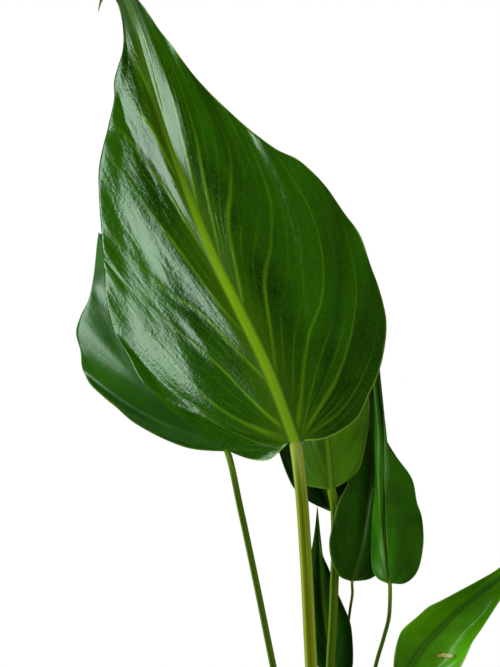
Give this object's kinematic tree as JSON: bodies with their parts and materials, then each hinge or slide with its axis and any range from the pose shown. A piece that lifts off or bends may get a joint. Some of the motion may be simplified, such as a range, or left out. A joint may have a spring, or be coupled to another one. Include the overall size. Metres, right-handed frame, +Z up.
{
  "type": "potted monstera plant",
  "caption": "Young upright monstera with broad glossy pointed leaves on long grooved stalks, growing from a short stem in a plain round terracotta pot of soil.",
  "frame": {"origin": "centre of the pot's flat underside", "axes": "+Z up; the leaves face -Y, and +X is to the right as they are looked at"},
  "size_m": [0.1929, 0.14, 0.5012],
  "materials": {
    "terracotta": "unglazed, matt, faintly chalky",
    "soil": "moist, crumbly, with bark and white grains",
    "stem": "green bark, slightly waxy, with paler scar rings",
    "leaf_stalk": "smooth, waxy, grooved in front",
    "leaf_blade": "glossy, quilted between its veins"
  },
  "bodies": {
    "root": {"pot": "terracotta", "soil": "soil", "stem": "stem", "leaf_1_petiole": "leaf_stalk", "leaf_1_blade": "leaf_blade", "leaf_2_petiole": "leaf_stalk", "leaf_2_blade": "leaf_blade", "leaf_3_petiole": "leaf_stalk", "leaf_3_blade": "leaf_blade", "leaf_4_petiole": "leaf_stalk", "leaf_4_blade": "leaf_blade", "leaf_5_petiole": "leaf_stalk", "leaf_5_blade": "leaf_blade", "leaf_6_petiole": "leaf_stalk", "leaf_6_blade": "leaf_blade", "leaf_7_petiole": "leaf_stalk", "leaf_7_blade": "leaf_blade", "leaf_8_petiole": "leaf_stalk", "leaf_8_blade": "leaf_blade"}
  },
  "joints": []
}
